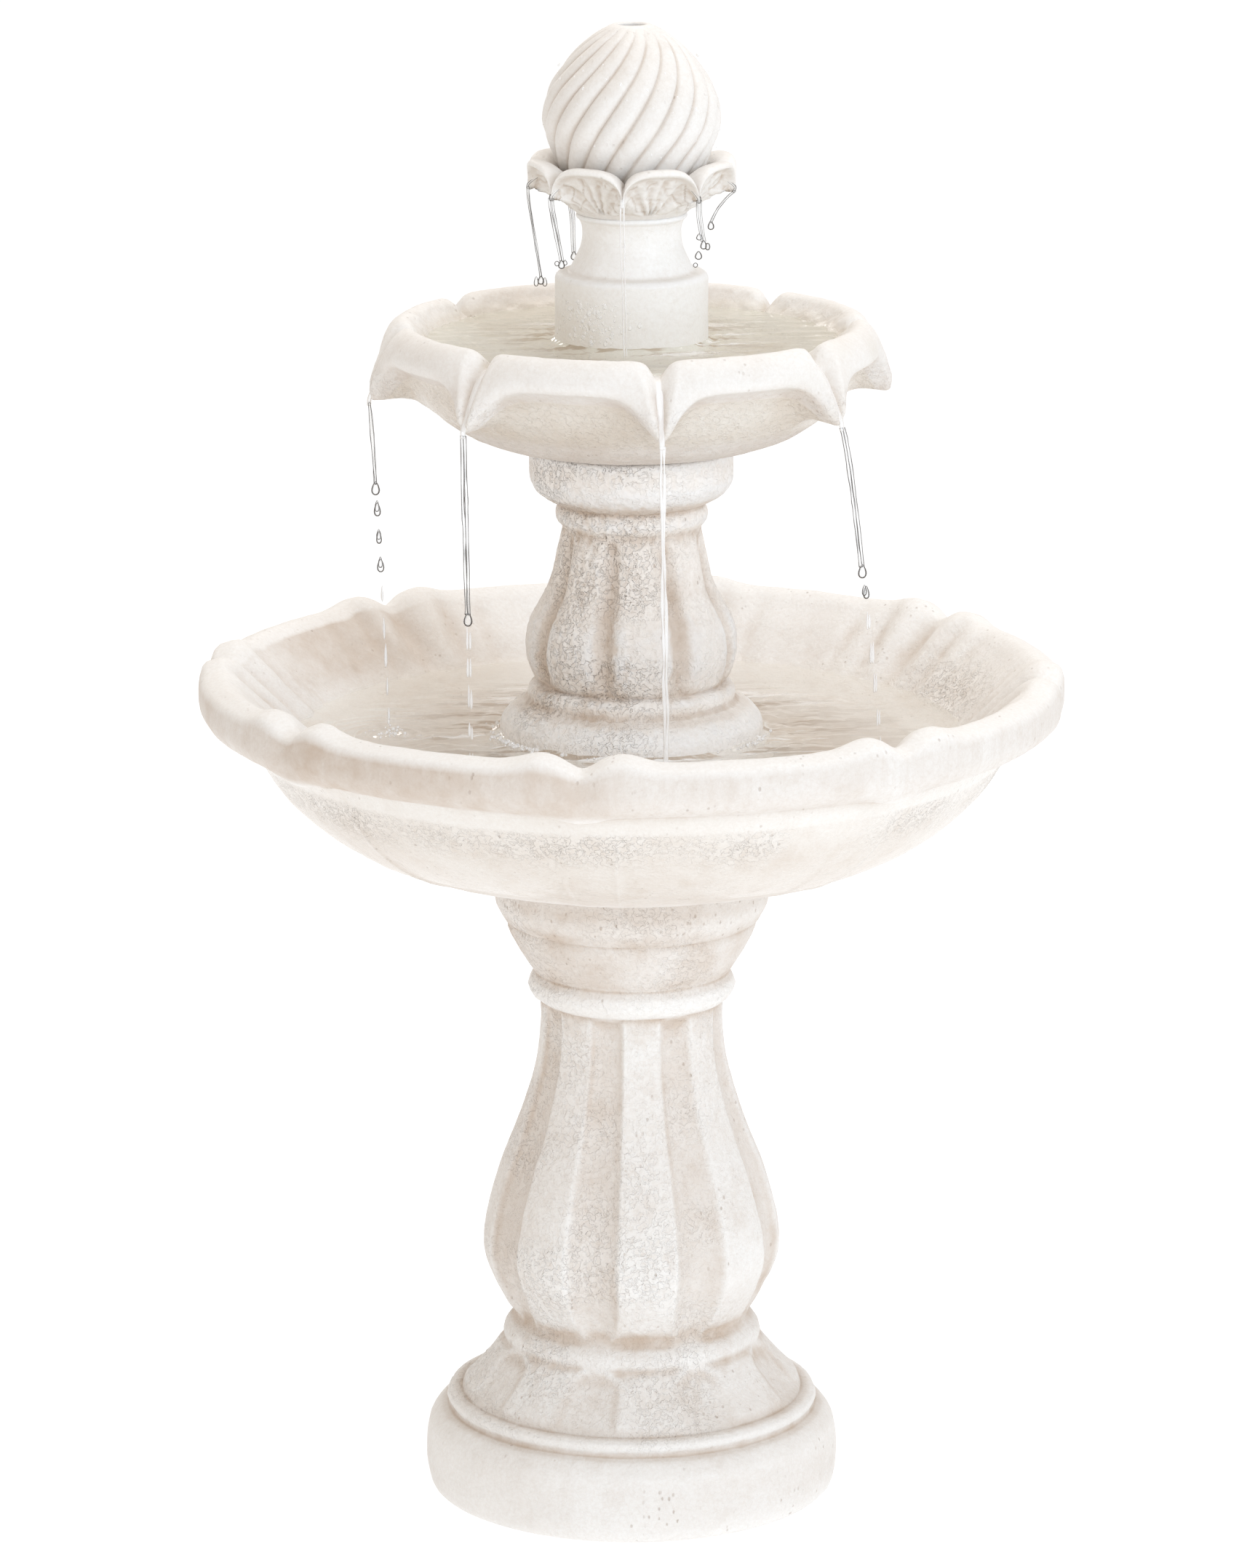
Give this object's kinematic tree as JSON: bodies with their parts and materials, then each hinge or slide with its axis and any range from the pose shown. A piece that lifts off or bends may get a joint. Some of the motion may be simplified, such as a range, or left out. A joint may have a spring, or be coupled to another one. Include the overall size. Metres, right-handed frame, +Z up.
{
  "type": "tiered water fountain",
  "caption": "Free-standing tiered garden fountain: fluted pedestal, round basin, scalloped upper bowl, petal cup and swirled ball outlet, fed by a submersible pump.",
  "frame": {"origin": "centre of the pedestal's underside, on the ground", "axes": "+Z up along the fountain's axis; -Y towards one of the upper bowl's spouts, +Y towards the cord arch in the plinth"},
  "size_m": [0.574, 0.574, 0.9965],
  "materials": {
    "cast_stone_pedestal": "cream cast stone, matte, fine pits, taupe in the recesses",
    "cast_stone_basin": "cream cast stone, matte outside, damp and darker inside",
    "cast_stone_column": "cream cast stone, rough and pitted on the collar and skirt",
    "cast_stone_bowl": "cream cast stone, smooth petals, damp lip",
    "cast_stone_topper": "cream cast stone, smooth and wet",
    "black_rubber": "matte moulded rubber",
    "pump_plastic": "black moulded plastic with a fine grain",
    "rotor_plastic": "pale moulded plastic",
    "fitting_plastic": "grey moulded plastic",
    "core_steel": "laminated sheet steel",
    "copper_winding": "enamelled copper wire",
    "shaft_ceramic": "polished white ceramic",
    "clear_tubing": "milky flexible tubing"
  },
  "bodies": {
    "pedestal": {"pedestal": "cast_stone_pedestal", "basin_seal": "black_rubber"},
    "basin": {"lower_basin": "cast_stone_basin", "cord_gland": "black_rubber", "suction_feet": "black_rubber", "pump_body": "pump_plastic", "stator_core": "core_steel", "stator_coils": "copper_winding", "motor_end_cover": "pump_plastic", "rotor_shaft": "shaft_ceramic", "rear_bushing": "black_rubber", "front_bushing": "black_rubber", "volute_seal": "black_rubber", "volute_cover": "pump_plastic"},
    "drain_plug": {"drain_plug": "black_rubber"},
    "rotor": {"rotor_magnet": "core_steel", "impeller": "rotor_plastic"},
    "intake_cover": {"intake_cover": "pump_plastic"},
    "flow_dial": {"flow_dial": "pump_plastic"},
    "column": {"upper_column": "cast_stone_column", "hose_grommet": "black_rubber", "riser_hose": "clear_tubing", "bowl_gasket": "black_rubber"},
    "bowl": {"upper_bowl": "cast_stone_bowl", "bowl_fitting": "fitting_plastic", "fitting_washer": "black_rubber", "fitting_nut": "fitting_plastic"},
    "topper": {"topper_base": "cast_stone_topper", "petal_cup": "cast_stone_topper", "swirl_ball": "cast_stone_topper", "riser_tube": "clear_tubing", "outlet_nozzle": "fitting_plastic"}
  },
  "joints": [
    {"name": "basin_lift", "type": "slide", "parent": "pedestal", "child": "basin", "axis": [0, 0, 1], "range_m": [0, 0.05]},
    {"name": "column_lift", "type": "slide", "parent": "basin", "child": "column", "axis": [0, 0, 1], "range_m": [0, 0.13]},
    {"name": "bowl_lift", "type": "slide", "parent": "column", "child": "bowl", "axis": [0, 0, 1], "range_m": [0, 0.04]},
    {"name": "topper_lift", "type": "slide", "parent": "bowl", "child": "topper", "axis": [0, 0, 1], "range_m": [0, 0.07]},
    {"name": "drain_plug_pull", "type": "slide", "parent": "basin", "child": "drain_plug", "axis": [0, 0, 1], "range_m": [0, 0.03]},
    {"name": "rotor_spin", "type": "hinge", "parent": "basin", "child": "rotor", "pos_m": [0, 0, 0.492], "axis": [0, 1, 0], "continuous": true},
    {"name": "intake_cover_slide", "type": "slide", "parent": "basin", "child": "intake_cover", "axis": [0, -1, 0], "range_m": [0, 0.018]},
    {"name": "flow_dial_turn", "type": "hinge", "parent": "intake_cover", "child": "flow_dial", "pos_m": [0, -0.025, 0.476], "axis": [0, -1, 0], "range_deg": [0, 120]}
  ]
}
